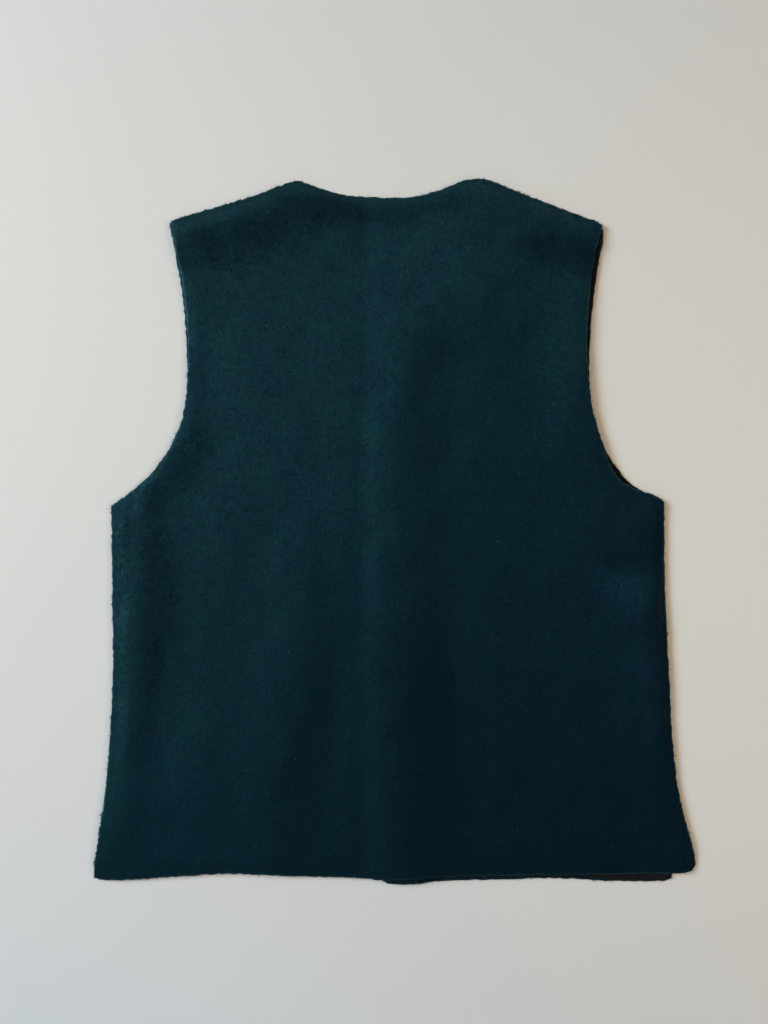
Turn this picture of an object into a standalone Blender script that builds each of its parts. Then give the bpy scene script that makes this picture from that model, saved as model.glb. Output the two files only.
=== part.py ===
"""A felted wool vest laid flat with its back up, in metres, +Z up and the neck towards +Y.

The two fronts lie on the table and overlap at the middle. The right front carries a thin lining,
and the back lies over all of them. Wearer's left is -X.
"""

import bmesh
import bpy
import numpy as np

MM = 0.001

# Walls and gaps, in millimetres
WOOL = 2.3
LINING = 1.0
GAP = 0.3
SLACK = 0.05

# Heights of the undersides, in millimetres
BACK_ON_LEFT = WOOL + GAP + SLACK
STEP_OVER = WOOL + GAP + SLACK
LINING_RISE = LINING + GAP + SLACK
LINING_BRIDGE = 0.85

# Middle of the vest, in millimetres
LEFT_FRONT_EDGE = 14.5
RIGHT_FRONT_EDGE = -11.5
OVERLAP_TOP = 177.0

# Outlines, in millimetres. Columns: x, y. Every curve runs upwards or towards +X.
BACK_LEFT_VENT = [(-288.0, -331.2), (-284.4, -303.0), (-279.4, -272.0), (-276.8, -256.0)]
BACK_LEFT_SEAM = [(-276.8, -256.0), (-271.8, -200.0), (-268.4, -130.0), (-269.0, -50.0), (-270.2, 24.4)]
BACK_LEFT_ARMHOLE = [
    (-270.2, 24.4), (-252.6, 37.4), (-234.0, 53.0), (-217.6, 74.6), (-205.6, 97.4), (-199.6, 122.0),
    (-197.2, 160.0), (-197.8, 199.0), (-201.8, 235.0), (-208.6, 271.0), (-215.4, 294.4),
]
BACK_TOP = [
    (-215.4, 294.4), (-184.0, 304.4), (-150.5, 314.4), (-126.0, 322.4), (-105.0, 330.6), (-92.6, 333.8),
    (-80.0, 329.6), (-56.0, 322.4), (-30.0, 319.0), (-5.0, 317.6), (18.0, 318.6), (42.0, 325.0),
    (62.0, 332.5), (77.4, 335.2), (92.0, 332.5), (122.0, 320.5), (158.0, 306.5), (197.4, 292.2),
]
BACK_RIGHT_VENT = [(287.4, -318.2), (282.2, -297.0), (273.8, -266.5), (268.0, -240.0)]
BACK_RIGHT_SEAM = [(268.0, -240.0), (262.8, -190.0), (259.2, -120.0), (256.2, -50.0), (255.8, 28.0)]
BACK_RIGHT_ARMHOLE = [
    (255.8, 28.0), (246.0, 34.6), (226.0, 41.5), (208.0, 55.5), (196.0, 86.0), (188.0, 111.0),
    (183.4, 140.0), (181.2, 176.0), (182.8, 209.0), (185.6, 240.0), (190.5, 270.0), (197.4, 292.2),
]
BACK_HEM = [
    (-288.0, -331.2), (-253.0, -331.0), (-218.0, -328.4), (-184.0, -325.8), (-150.0, -324.2),
    (-105.0, -326.2), (-59.0, -328.2), (-14.0, -329.4), (16.0, -328.4), (49.0, -327.0), (119.0, -326.0),
    (195.0, -325.2), (243.0, -324.2), (266.0, -324.4), (280.6, -323.0), (287.4, -318.2),
]

LEFT_FRONT_SIDE = [(-263.8, -319.5), (-267.8, -285.0), (-269.8, -235.0), (-267.2, -130.0), (-268.8, 22.4)]
LEFT_FRONT_ARMHOLE = [
    (-268.8, 22.4), (-252.4, 36.0), (-233.9, 51.7), (-217.4, 73.0), (-205.4, 95.4), (-200.0, 118.0),
    (-198.6, 154.0), (-200.3, 199.0), (-204.4, 235.0), (-210.7, 270.0), (-215.2, 291.1),
]
LEFT_FRONT_SHOULDER = [(-215.2, 291.1), (-150.0, 311.5), (-93.0, 331.0)]
LEFT_FRONT_NECK = [(LEFT_FRONT_EDGE, OVERLAP_TOP), (-35.0, 244.0), (-93.0, 331.0)]
LEFT_FRONT_CENTRE = [(LEFT_FRONT_EDGE, -321.0), (LEFT_FRONT_EDGE, OVERLAP_TOP)]
LEFT_FRONT_HEM = [(-263.8, -319.5), (-150.0, -320.0), (LEFT_FRONT_EDGE, -321.0)]

RIGHT_FRONT_CENTRE = [(-12.8, -334.8), (RIGHT_FRONT_EDGE, OVERLAP_TOP)]
RIGHT_FRONT_NECK = [(RIGHT_FRONT_EDGE, OVERLAP_TOP), (28.0, 244.0), (77.5, 332.5)]
RIGHT_FRONT_SHOULDER = [(77.5, 332.5), (140.0, 311.0), (198.0, 290.0)]
RIGHT_FRONT_SIDE = [(264.6, -332.6), (266.5, -285.0), (264.0, -215.0), (258.0, -120.0), (255.4, -40.0), (254.8, 25.6)]
RIGHT_FRONT_ARMHOLE = [
    (254.8, 25.6), (243.0, 34.2), (227.8, 42.8), (212.4, 59.5), (198.4, 83.0), (189.4, 108.0),
    (185.6, 140.0), (185.2, 170.0), (187.8, 211.0), (193.0, 250.0), (197.4, 276.0), (198.0, 290.0),
]
RIGHT_FRONT_HEM = [
    (-12.8, -334.8), (15.0, -335.4), (36.0, -334.0), (58.0, -332.8), (105.0, -331.6), (140.0, -330.4),
    (170.0, -331.2), (200.0, -333.0), (240.0, -333.4), (264.6, -332.6),
]

LINING_CENTRE = [(-7.0, -305.0), (-7.0, 172.0)]
LINING_NECK = [(-7.0, 172.0), (33.0, 244.0), (77.0, 323.0)]
LINING_SHOULDER = [(77.0, 323.0), (135.0, 304.5), (196.2, 285.0)]
LINING_SIDE = [(257.0, -330.4), (256.6, -285.0), (253.0, -215.0), (246.6, -120.0), (244.4, -40.0), (243.5, 19.0)]
LINING_ARMHOLE = [
    (243.5, 19.0), (236.6, 34.4), (224.6, 43.6), (211.6, 58.8), (197.6, 82.4), (188.6, 107.4),
    (184.8, 140.0), (184.5, 170.0), (187.1, 211.0), (192.2, 249.6), (196.2, 285.0),
]
LINING_HEM = [(-7.0, -305.0), (60.0, -313.0), (150.0, -323.4), (205.0, -330.4), (257.0, -330.4)]

# Soft folds in the back, in millimetres. Each fold is a line through its rows, and it fades to either hand.
# Columns: x, y, lift, width on the left hand, width on the right hand
FOLDS = {
    "ridge over the overlapped fronts": [
        (0, -332, 3.5, 38, 60), (0, -270, 4.2, 38, 60), (-1, -150, 4.4, 36, 60), (-1, 0, 4.4, 36, 60),
        (0, 120, 4.3, 38, 58), (4, 190, 4.1, 38, 56), (8, 225, 2.4, 36, 54), (12, 272, 0, 36, 50),
    ],
    "long slope right of the ridge": [
        (40, -332, 0.8, 50, 130), (40, -150, 1.0, 50, 130), (38, 20, 0.8, 46, 120),
        (34, 130, 0.4, 42, 100), (34, 200, 0, 40, 90),
    ],
    "fold towards the left of the hem": [
        (-116, -328, 1.7, 110, 62), (-113, -240, 2.0, 110, 58), (-99, -179, 2.0, 105, 46),
        (-80, -141, 1.8, 100, 38), (-66, -74, 1.4, 90, 34), (-52, 30, 0.8, 80, 30), (-48, 95, 0, 70, 30),
    ],
    "left side seam": [
        (-258, -292, 0, 16, 24), (-256, -235, 1.0, 16, 28), (-252, -180, 1.6, 15, 32),
        (-251, -80, 1.6, 15, 34), (-250, 0, 1.0, 16, 34), (-230, 36, 0.6, 16, 30), (-200, 100, 0, 10, 24),
    ],
    "right side seam": [
        (262, -290, 0, 40, 20), (252, -215, 1.0, 60, 14), (245, -140, 1.4, 64, 14),
        (242, -70, 1.6, 62, 14), (241, 0, 1.2, 46, 14), (236, 24, 0, 30, 13),
    ],
    "dent under the right arm": [(186, -20, 0, 18, 20), (215, -31, -0.9, 22, 24), (252, -38, -1.4, 22, 26)],
    "rise of the left shoulder blade": [
        (-120, 100, 0, 60, 70), (-135, 170, 1.3, 62, 80), (-130, 230, 1.2, 60, 80), (-110, 270, 0, 50, 60),
    ],
    "left shoulder seam": [
        (-206, 283, 0.3, 10, 26), (-150, 302, 1.0, 9, 28), (-93, 322, 1.0, 9, 26), (-70, 315, 0.3, 8, 20),
    ],
    "right shoulder seam": [
        (60, 322, 0.3, 8, 22), (78, 325, 1.0, 9, 26), (135, 306, 1.1, 9, 34), (188, 285, 0.6, 10, 34),
    ],
}

# Sag of the back into the open V between the fronts, in millimetres
SAG = 1.9
SAG_START = 4.0
SAG_EDGE = 26.0

# How the vent corners of the back droop to the table, in millimetres
DROOP = 2.0
DROOP_REACH = 23.0

# Grid cells across and along each piece
BACK_CELLS = (52, 62)
FRONT_CELLS = (20, 44)
LINING_CELLS = (18, 40)
EDGE_CROWDING = 0.06


def smooth_step(t):
    """0 below 0, 1 above 1, and a soft S between them."""
    t = np.clip(t, 0.0, 1.0)
    return t * t * (3.0 - 2.0 * t)


def bell(distance, width):
    """A cosine bell: 1 on the line, 0 from one width away."""
    return 0.5 + 0.5 * np.cos(np.pi * np.clip(distance / width, 0.0, 1.0))


def smooth_curve(points, steps=24):
    """A Catmull-Rom curve through the points, as many short chords."""
    p = np.array(points, float)
    p = np.vstack([2 * p[0] - p[1], p, 2 * p[-1] - p[-2]])
    t = np.linspace(0.0, 1.0, steps, endpoint=False)[:, None]
    spans = []
    for a, b, c, d in zip(p[:-3], p[1:-2], p[2:-1], p[3:]):
        bend = 2 * b + (c - a) * t + (2 * a - 5 * b + 4 * c - d) * t**2 + (3 * b - a - 3 * c + d) * t**3
        spans.append(0.5 * bend)
    return np.vstack(spans + [p[-2:-1]])


def along(curve, places):
    """Points of a curve at shares of its length from 0 to 1."""
    length = np.concatenate([[0.0], np.cumsum(np.linalg.norm(np.diff(curve, axis=0), axis=1))])
    at = np.asarray(places) * length[-1]
    return np.stack([np.interp(at, length, curve[:, k]) for k in (0, 1)], axis=1)


def crowded(cells):
    """Places from 0 to 1, closer together near both ends."""
    s = np.linspace(0.0, 1.0, cells + 1)
    return s - EDGE_CROWDING * np.sin(2 * np.pi * s)


def side(parts, shares, places):
    """One side of a panel from several curves, each with its share of the rows."""
    ends = np.concatenate([[0.0], np.cumsum(shares)])
    points = np.zeros((len(places), 2))
    for part, low, high in zip(parts, ends[:-1], ends[1:]):
        here = (places >= low - 1e-9) & (places <= high + 1e-9)
        points[here] = along(smooth_curve(part), (places[here] - low) / (high - low))
    return points


def rows_meeting(places, shares):
    """Moves the nearest place onto each joint between two parts of a side, so that corners stay sharp."""
    places = places.copy()
    for joint in np.cumsum(shares)[:-1]:
        places[np.argmin(np.abs(places - joint))] = joint
    return places


def panel(bottom, top, left, right, shares, cells):
    """A Coons patch: the points between four edges, shaped (columns, rows, 2)."""
    u = crowded(cells[0])
    v = rows_meeting(crowded(cells[1]), shares)
    low = along(smooth_curve(bottom), u)[:, None]
    high = side([top], [1.0], u)[:, None]
    west = side(left, shares, v)[None]
    east = side(right, shares, v)[None]
    u = u[:, None, None]
    v = v[None, :, None]
    corners = (1 - u) * ((1 - v) * west[:, :1] + v * west[:, -1:]) + u * ((1 - v) * east[:, :1] + v * east[:, -1:])
    return (1 - u) * west + u * east + (1 - v) * low + v * high - corners


def line_lift(x, y, rows):
    """Lift of one fold: a bell across its line, with the lift and widths of the nearest place on the line."""
    table = np.array(rows, float)
    nearest = np.full(x.shape, np.inf)
    lift = np.zeros(x.shape)
    for a, b in zip(table[:-1], table[1:]):
        dx, dy = b[0] - a[0], b[1] - a[1]
        t = np.clip(((x - a[0]) * dx + (y - a[1]) * dy) / (dx * dx + dy * dy), 0.0, 1.0)
        ex, ey = x - a[0] - t * dx, y - a[1] - t * dy
        distance = np.hypot(ex, ey)
        on_left = dx * ey - dy * ex > 0
        width = np.where(on_left, a[3] + t * (b[3] - a[3]), a[4] + t * (b[4] - a[4]))
        closer = distance < nearest
        nearest = np.where(closer, distance, nearest)
        lift = np.where(closer, (a[2] + t * (b[2] - a[2])) * bell(distance, width), lift)
    return lift


def inside_line(x, y, a, b):
    """Distance to the right hand of the line from a to b."""
    dx, dy = b[0] - a[0], b[1] - a[1]
    return ((x - a[0]) * dy - (y - a[1]) * dx) / np.hypot(dx, dy)


def right_front_height(x, y):
    """Underside of the right front: on the table, and stepped over the edge of the left front."""
    near_overlap = 1 - smooth_step((x - LEFT_FRONT_EDGE - 5) / 15)
    below_neck = 1 - smooth_step((y - OVERLAP_TOP - 17) / 34)
    return STEP_OVER * near_overlap * below_neck


def lining_height(x, y):
    """Underside of the lining: on the right front, bridging the step in it."""
    return right_front_height(x, y) + WOOL + GAP + LINING_BRIDGE * bell(np.abs(x - LEFT_FRONT_EDGE - 10), 22)


def back_height(x, y, to_right):
    """Underside of the back: laid over the fronts and the lining, with its folds."""
    at_seam = (1 - smooth_step((to_right - 2) / 9)) * (1 - smooth_step((y - 12) / 20))
    over_lining = smooth_step((x + 32) / 20) * (1 - at_seam)
    support = BACK_ON_LEFT + LINING_RISE * over_lining
    z = support + sum(line_lift(x, y, rows) for rows in FOLDS.values())
    z = np.maximum(z, support)
    from_left = inside_line(x, y, LEFT_FRONT_NECK[0], LEFT_FRONT_NECK[-1])
    from_right = inside_line(x, y, RIGHT_FRONT_NECK[0], RIGHT_FRONT_NECK[-1])
    opening = np.minimum(from_left, -from_right)
    z = z - SAG * smooth_step((opening - SAG_START) / SAG_EDGE)
    for corner in (BACK_HEM[0], BACK_HEM[-1]):
        reach = np.hypot(x - corner[0], y - corner[1])
        z = z - DROOP * bell(reach, DROOP_REACH)
    return z


def make_wall(name, points, heights, thickness, centre, colour, collection):
    """A closed wall on a mapped grid, its underside on the given heights."""
    columns, rows = heights.shape
    mesh = bpy.data.meshes.new(name)
    bm = bmesh.new()
    bmesh.ops.create_grid(bm, x_segments=columns - 1, y_segments=rows - 1, size=1.0)
    for vertex in bm.verts:
        i = round((vertex.co.x + 1) / 2 * (columns - 1))
        j = round((vertex.co.y + 1) / 2 * (rows - 1))
        x, y = points[i, j] - centre
        vertex.co = (x * MM, y * MM, heights[i, j] * MM)
    bm.normal_update()
    if sum(face.normal.z for face in bm.faces) < 0:
        bmesh.ops.reverse_faces(bm, faces=bm.faces)
    bm.to_mesh(mesh)
    bm.free()
    part = bpy.data.objects.new(name, mesh)
    collection.objects.link(part)
    wall = part.modifiers.new("wall", "SOLIDIFY")
    wall.thickness = thickness * MM
    wall.offset = 1.0
    wall.use_even_offset = True
    material = bpy.data.materials.new(name)
    material.use_nodes = True
    shader = material.node_tree.nodes["Principled BSDF"]
    shader.inputs["Base Color"].default_value = (*colour, 1.0)
    shader.inputs["Roughness"].default_value = 0.9
    mesh.materials.append(material)
    return part


def main():
    for old in list(bpy.data.objects):
        bpy.data.objects.remove(old, do_unlink=True)
    vest = bpy.data.collections.new("vest")
    bpy.context.scene.collection.children.link(vest)

    back = panel(
        BACK_HEM, BACK_TOP,
        [BACK_LEFT_VENT, BACK_LEFT_SEAM, BACK_LEFT_ARMHOLE],
        [BACK_RIGHT_VENT, BACK_RIGHT_SEAM, BACK_RIGHT_ARMHOLE],
        (0.11, 0.41, 0.48), BACK_CELLS,
    )
    left_front = panel(
        LEFT_FRONT_HEM, LEFT_FRONT_SHOULDER,
        [LEFT_FRONT_SIDE, LEFT_FRONT_ARMHOLE], [LEFT_FRONT_CENTRE, LEFT_FRONT_NECK],
        (0.56, 0.44), FRONT_CELLS,
    )
    right_front = panel(
        RIGHT_FRONT_HEM, RIGHT_FRONT_SHOULDER,
        [RIGHT_FRONT_CENTRE, RIGHT_FRONT_NECK], [RIGHT_FRONT_SIDE, RIGHT_FRONT_ARMHOLE],
        (0.56, 0.44), FRONT_CELLS,
    )
    lining = panel(
        LINING_HEM, LINING_SHOULDER,
        [LINING_CENTRE, LINING_NECK], [LINING_SIDE, LINING_ARMHOLE],
        (0.56, 0.44), LINING_CELLS,
    )

    outline = np.vstack([p.reshape(-1, 2) for p in (back, left_front, right_front, lining)])
    centre = (outline.min(axis=0) + outline.max(axis=0)) / 2

    to_right = np.hypot(*np.moveaxis(back - back[-1:], -1, 0))
    x, y = right_front[..., 0], right_front[..., 1]
    right_height = right_front_height(x, y)
    lining_under = lining_height(lining[..., 0], lining[..., 1])
    back_under = back_height(back[..., 0], back[..., 1], to_right)

    teal = (0.006, 0.026, 0.034)
    plum_grey = (0.010, 0.012, 0.017)
    make_wall("front_left", left_front, np.zeros(left_front.shape[:2]), WOOL, centre, teal, vest)
    make_wall("front_right", right_front, right_height, WOOL, centre, teal, vest)
    make_wall("lining_right", lining, lining_under, LINING, centre, plum_grey, vest)
    make_wall("back", back, back_under, WOOL, centre, teal, vest)


main()
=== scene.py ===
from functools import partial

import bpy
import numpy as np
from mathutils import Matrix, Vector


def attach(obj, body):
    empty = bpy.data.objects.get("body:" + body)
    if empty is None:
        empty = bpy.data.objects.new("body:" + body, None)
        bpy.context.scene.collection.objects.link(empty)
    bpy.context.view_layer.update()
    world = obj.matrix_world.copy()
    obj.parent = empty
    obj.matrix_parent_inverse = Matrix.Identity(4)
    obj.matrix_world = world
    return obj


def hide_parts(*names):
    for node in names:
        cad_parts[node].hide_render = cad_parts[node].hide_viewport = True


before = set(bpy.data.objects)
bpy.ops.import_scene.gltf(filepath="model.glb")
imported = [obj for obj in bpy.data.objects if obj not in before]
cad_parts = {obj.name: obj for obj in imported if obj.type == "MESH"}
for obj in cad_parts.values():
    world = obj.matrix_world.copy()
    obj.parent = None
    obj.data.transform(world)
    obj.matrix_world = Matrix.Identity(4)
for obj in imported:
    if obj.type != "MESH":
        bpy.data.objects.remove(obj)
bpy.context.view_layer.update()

# A felted wool vest laid flat with its back up, +Z up and the neck towards +Y. Its shapes are worked out in
# millimetres, and its meshes are in metres. The two fronts lie on the floor and overlap at the middle. The
# right front carries a thin lining, and the back lies over all of them. Wearer's left is -X.

MM = 0.001

# Walls, gaps and the unevenness of the cut edges, in millimetres
WOOL = 2.3
LINING = 1.0
GAP = 0.3
SLACK = 0.05
CUT_UNEVENNESS = 0.30
CUT_LARGEST = 0.6

# Heights of the undersides, in millimetres
BACK_ON_LEFT = WOOL + GAP + SLACK
STEP_OVER = WOOL + GAP + SLACK
LINING_RISE = LINING + GAP + SLACK

# How the right front steps over the edge of the left one, and how the lining bridges that step
STEP_START = 5.0
STEP_RUN = 15.0
STEP_ABOVE_OVERLAP = 17.0
STEP_FADE = 34.0
LINING_BRIDGE = 0.85
BRIDGE_PLACE = 10.0
BRIDGE_REACH = 22.0

# How the back rises onto the lining at the middle, and comes down again at the right side seam
ONTO_LINING = -32.0
ONTO_LINING_RUN = 20.0
SEAM_START = 2.0
SEAM_RUN = 9.0
SEAM_TOP = 12.0
SEAM_FADE = 20.0

# Middle of the vest, in millimetres
LEFT_FRONT_EDGE = 14.5
RIGHT_FRONT_EDGE = -11.5
OVERLAP_TOP = 177.0

# Outlines, in millimetres. Columns: x, y. Every curve runs upwards or towards +X.
BACK_LEFT_VENT = [(-288, -331.2), (-284.4, -303), (-279.4, -272), (-276.8, -256)]
BACK_LEFT_SEAM = [(-276.8, -256), (-271.8, -200), (-268.4, -130), (-269, -50), (-270.2, 24.4)]
BACK_LEFT_ARMHOLE = [
    (-270.2, 24.4), (-252.6, 37.4), (-234, 53), (-217.6, 74.6), (-205.6, 97.4), (-199.6, 122),
    (-197.2, 160), (-197.8, 199), (-201.8, 235), (-208.6, 271), (-215.4, 294.4),
]
BACK_TOP = [
    (-215.4, 294.4), (-184, 304.4), (-150.5, 314.4), (-126, 322.4), (-105, 330.6), (-92.6, 333.8),
    (-80, 329.6), (-56, 322.4), (-30, 319), (-5, 317.6), (18, 318.6), (42, 325),
    (62, 332.5), (77.4, 335.2), (92, 332.5), (122, 320.5), (158, 306.5), (197.4, 292.2),
]
BACK_RIGHT_VENT = [(287.4, -318.2), (282.2, -297), (273.8, -266.5), (268, -240)]
BACK_RIGHT_SEAM = [(268, -240), (262.8, -190), (259.2, -120), (256.2, -50), (255.8, 28)]
BACK_RIGHT_ARMHOLE = [
    (255.8, 28), (246, 34.6), (226, 41.5), (208, 55.5), (196, 86), (188, 111),
    (183.4, 140), (181.2, 176), (182.8, 209), (185.6, 240), (190.5, 270), (197.4, 292.2),
]
BACK_HEM = [
    (-288, -331.2), (-253, -331), (-218, -328.4), (-184, -325.8), (-150, -324.2),
    (-105, -326.2), (-59, -328.2), (-14, -329.4), (16, -328.4), (49, -327), (119, -326),
    (195, -325.2), (243, -324.2), (266, -324.4), (280.6, -323), (287.4, -318.2),
]

LEFT_FRONT_SIDE = [(-263.8, -319.5), (-267.8, -285), (-269.8, -235), (-267.2, -130), (-268.8, 22.4)]
LEFT_FRONT_ARMHOLE = [
    (-268.8, 22.4), (-252.4, 36), (-233.9, 51.7), (-217.4, 73), (-205.4, 95.4), (-200, 118),
    (-198.6, 154), (-200.3, 199), (-204.4, 235), (-210.7, 270), (-215.2, 291.1),
]
LEFT_FRONT_SHOULDER = [(-215.2, 291.1), (-150, 311.5), (-93, 331)]
LEFT_FRONT_NECK = [(LEFT_FRONT_EDGE, OVERLAP_TOP), (-35, 244), (-93, 331)]
LEFT_FRONT_CENTRE = [(LEFT_FRONT_EDGE, -321), (LEFT_FRONT_EDGE, OVERLAP_TOP)]
LEFT_FRONT_HEM = [(-263.8, -319.5), (-150, -320), (LEFT_FRONT_EDGE, -321)]

RIGHT_FRONT_CENTRE = [(-12.8, -334.8), (RIGHT_FRONT_EDGE, OVERLAP_TOP)]
RIGHT_FRONT_NECK = [(RIGHT_FRONT_EDGE, OVERLAP_TOP), (28, 244), (77.5, 332.5)]
RIGHT_FRONT_SHOULDER = [(77.5, 332.5), (140, 311), (198.8, 290.4)]
RIGHT_FRONT_SIDE = [
    (264.6, -332.6), (266.5, -285), (264, -215), (258, -120), (255.4, -40), (254.8, 25.6),
]
RIGHT_FRONT_ARMHOLE = [
    (254.8, 25.6), (243, 34.2), (227.8, 42.8), (212.4, 59.5), (198.4, 83), (189.4, 108),
    (185.6, 140), (185.2, 170), (187.8, 211), (193, 250), (197.9, 276), (198.8, 290.4),
]
RIGHT_FRONT_HEM = [
    (-12.8, -334.8), (15, -335.4), (36, -334), (58, -332.8), (105, -331.6), (140, -330.4),
    (170, -331.2), (200, -333), (240, -333.4), (264.6, -332.6),
]

LINING_CENTRE = [(-7, -305), (-7, 172)]
LINING_NECK = [(-7, 172), (33, 244), (77, 323)]
LINING_SHOULDER = [(77, 323), (135, 304.5), (197, 286.4)]
LINING_SIDE = [
    (261, -331), (258, -285), (253, -215), (246.6, -120), (244.4, -40), (243.5, 19),
]
LINING_ARMHOLE = [
    (243.5, 19), (236.6, 34.4), (224.6, 43.6), (211.6, 58.8), (197.6, 82.4), (188.6, 107.4),
    (184.8, 140), (184.5, 170), (187.1, 211), (192.2, 249.6), (197, 286.4),
]
LINING_HEM = [(-7, -305), (60, -313), (150, -323.4), (205, -330.6), (261, -331)]

# Soft folds in the back, in millimetres. Each fold is a line through its rows, and it fades to either hand,
# as seen walking along the rows. Columns: x, y, lift, width on the left hand, width on the right hand
FOLDS = {
    "ridge over the overlapped fronts": [
        (0, -332, 3.5, 38, 60), (0, -270, 4.2, 38, 60), (-1, -150, 4.4, 36, 60), (-1, 0, 4.4, 36, 60),
        (0, 120, 4.3, 38, 58), (4, 190, 4.1, 38, 56), (8, 225, 2.4, 36, 54), (12, 272, 0, 36, 50),
    ],
    "long slope right of the ridge": [
        (40, -332, 0.8, 50, 130), (40, -150, 1, 50, 130), (38, 20, 0.8, 46, 120),
        (34, 130, 0.4, 42, 100), (34, 200, 0, 40, 90),
    ],
    "fold towards the left of the hem": [
        (-116, -328, 1.7, 110, 62), (-113, -240, 2, 110, 58), (-99, -179, 2, 105, 46),
        (-80, -141, 1.8, 100, 38), (-66, -74, 1.4, 90, 34), (-52, 30, 0.8, 80, 30), (-48, 95, 0, 70, 30),
    ],
    "left side seam": [
        (-258, -292, 0, 16, 24), (-256, -235, 1, 16, 28), (-252, -180, 1.6, 15, 32),
        (-251, -80, 1.6, 15, 34), (-250, 0, 1, 16, 34), (-230, 36, 0.6, 16, 30), (-200, 100, 0, 10, 24),
    ],
    "right side seam": [
        (262, -290, 0, 40, 20), (252, -215, 1, 60, 14), (245, -140, 1.4, 64, 14),
        (242, -70, 1.6, 62, 14), (241, 0, 1.2, 46, 14), (236, 24, 0, 30, 13),
    ],
    "dent under the right arm": [(186, -20, 0, 18, 20), (215, -31, -0.9, 22, 24), (252, -38, -1.4, 22, 26)],
    "rise of the left shoulder blade": [
        (-120, 100, 0, 60, 70), (-135, 170, 1.3, 62, 80), (-130, 230, 1.2, 60, 80), (-110, 270, 0, 50, 60),
    ],
    "left shoulder seam": [
        (-206, 283, 0.3, 10, 26), (-150, 302, 1, 9, 28), (-93, 322, 1, 9, 26), (-70, 315, 0.3, 8, 20),
    ],
    "right shoulder seam": [
        (60, 322, 0.3, 8, 22), (78, 325, 1, 9, 26), (135, 306, 1.1, 9, 34), (188, 285, 0.6, 10, 34),
    ],
}

# Narrower folds on top of those, in the same columns
SHARPER_FOLDS = {
    "flank of the ridge, filled out": [
        (-34, -332, 0.6, 34, 30), (-34, -300, 0.8, 34, 30), (-33, -236, 1.3, 34, 30),
        (-31, -160, 2.1, 34, 29), (-33, -84, 2.6, 42, 30), (-33, -8, 2.1, 38, 29), (-34, 68, 1.6, 50, 29),
        (-36, 126, 2.3, 64, 31), (-37, 190, 2.2, 58, 32), (-34, 222, 0.6, 44, 32), (-30, 244, 0, 34, 30),
    ],
    "crest of the ridge": [
        (4, -331, 0.3, 26, 24), (2, -270, 0.2, 28, 26), (-2, -160, 0, 28, 26), (-2, 60, 0, 28, 26),
        (10, 110, 0.4, 24, 24), (15, 150, 0.9, 26, 24), (28, 182, 1.3, 34, 34), (50, 205, 2.2, 48, 60),
        (64, 228, 3.1, 60, 84), (72, 262, 2.2, 60, 70), (78, 296, 0.6, 50, 50), (80, 310, 0, 40, 40),
    ],
    "left side, rolled under": [
        (-250, -300, 0, 18, 24), (-245, -240, 1.2, 24, 30), (-247, -160, 1.5, 26, 42),
        (-242, -84, 2, 40, 57), (-237, -46, 1.9, 44, 54), (-240, -8, 1.4, 40, 54),
        (-238, 16, 0.2, 28, 50), (-226, 48, 1.4, 14, 44), (-208, 82, 1.6, 8, 42), (-200, 118, 1.3, 6, 34),
        (-197, 150, 0.8, 5, 20), (-197, 205, 0.9, 5, 24), (-201, 240, 2.4, 7, 50),
        (-207, 272, 2.8, 10, 56), (-210, 286, 1.8, 12, 50),
    ],
    "second rise from the left": [
        (-186, -280, 0, 30, 44), (-180, -236, 0.6, 34, 48), (-173, -165, 0.9, 34, 50),
        (-170, -110, 0.2, 32, 48), (-168, -70, 0, 30, 44),
    ],
    "fold towards the left of the hem": [
        (-116, -328, 0.9, 60, 34), (-113, -240, 1.4, 60, 32), (-104, -179, 1.5, 60, 32),
        (-97, -150, 1.6, 58, 33), (-91, -80, 1.6, 52, 34), (-84, -8, 0.9, 46, 34), (-78, 60, 0, 40, 30),
    ],
    "over the neck of the right front": [
        (50, 208, 0, 40, 44), (80, 206, 0.9, 44, 50), (118, 201, 1, 44, 54), (152, 192, 0, 40, 50),
    ],
    "left shoulder": [
        (-206, 285, 1.6, 8, 56), (-190, 291, 2.4, 8, 66), (-150, 303, 2.9, 8, 62), (-110, 316, 2.2, 8, 48),
        (-86, 320, 1.2, 8, 36), (-50, 313, 0.6, 8, 30), (-20, 309, 0, 8, 26),
    ],
    "below the neck": [
        (-84, 321, 0.6, 6, 26), (-30, 312, 1.1, 5, 28), (20, 311, 1.1, 5, 28), (60, 323, 0.6, 6, 28),
    ],
    "right shoulder": [(92, 318, 0.4, 8, 40), (140, 301, 2, 8, 60), (184, 284, 1.7, 8, 46)],
    "right armhole, lifted": [
        (222, 46, 0, 26, 10), (206, 70, 0.5, 36, 8), (192, 102, 1.4, 46, 8), (184, 140, 2, 52, 8),
        (182, 190, 2, 52, 8), (184, 225, 1.2, 40, 8), (189, 258, 0.3, 24, 8), (194, 280, 0, 20, 8),
    ],
    "between the shoulders": [(-46, 220, 0, 40, 30), (-6, 238, 1, 36, 22), (20, 262, 0, 30, 20)],
    "under the right arm": [
        (188, 40, 0, 20, 44), (190, 8, 1.4, 24, 54), (200, -22, 1.1, 22, 40), (214, -38, 0, 16, 20),
    ],
    "small rise on the right": [(204, -92, 0.4, 26, 20), (232, -72, 2.5, 36, 30), (250, -46, 0.5, 24, 16)],
    "right side": [
        (236, -40, 0, 40, 16), (240, -90, 1.3, 54, 15), (242, -150, 1.3, 56, 14), (248, -205, 0.6, 50, 13),
        (254, -250, 0, 40, 12),
    ],
}

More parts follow.
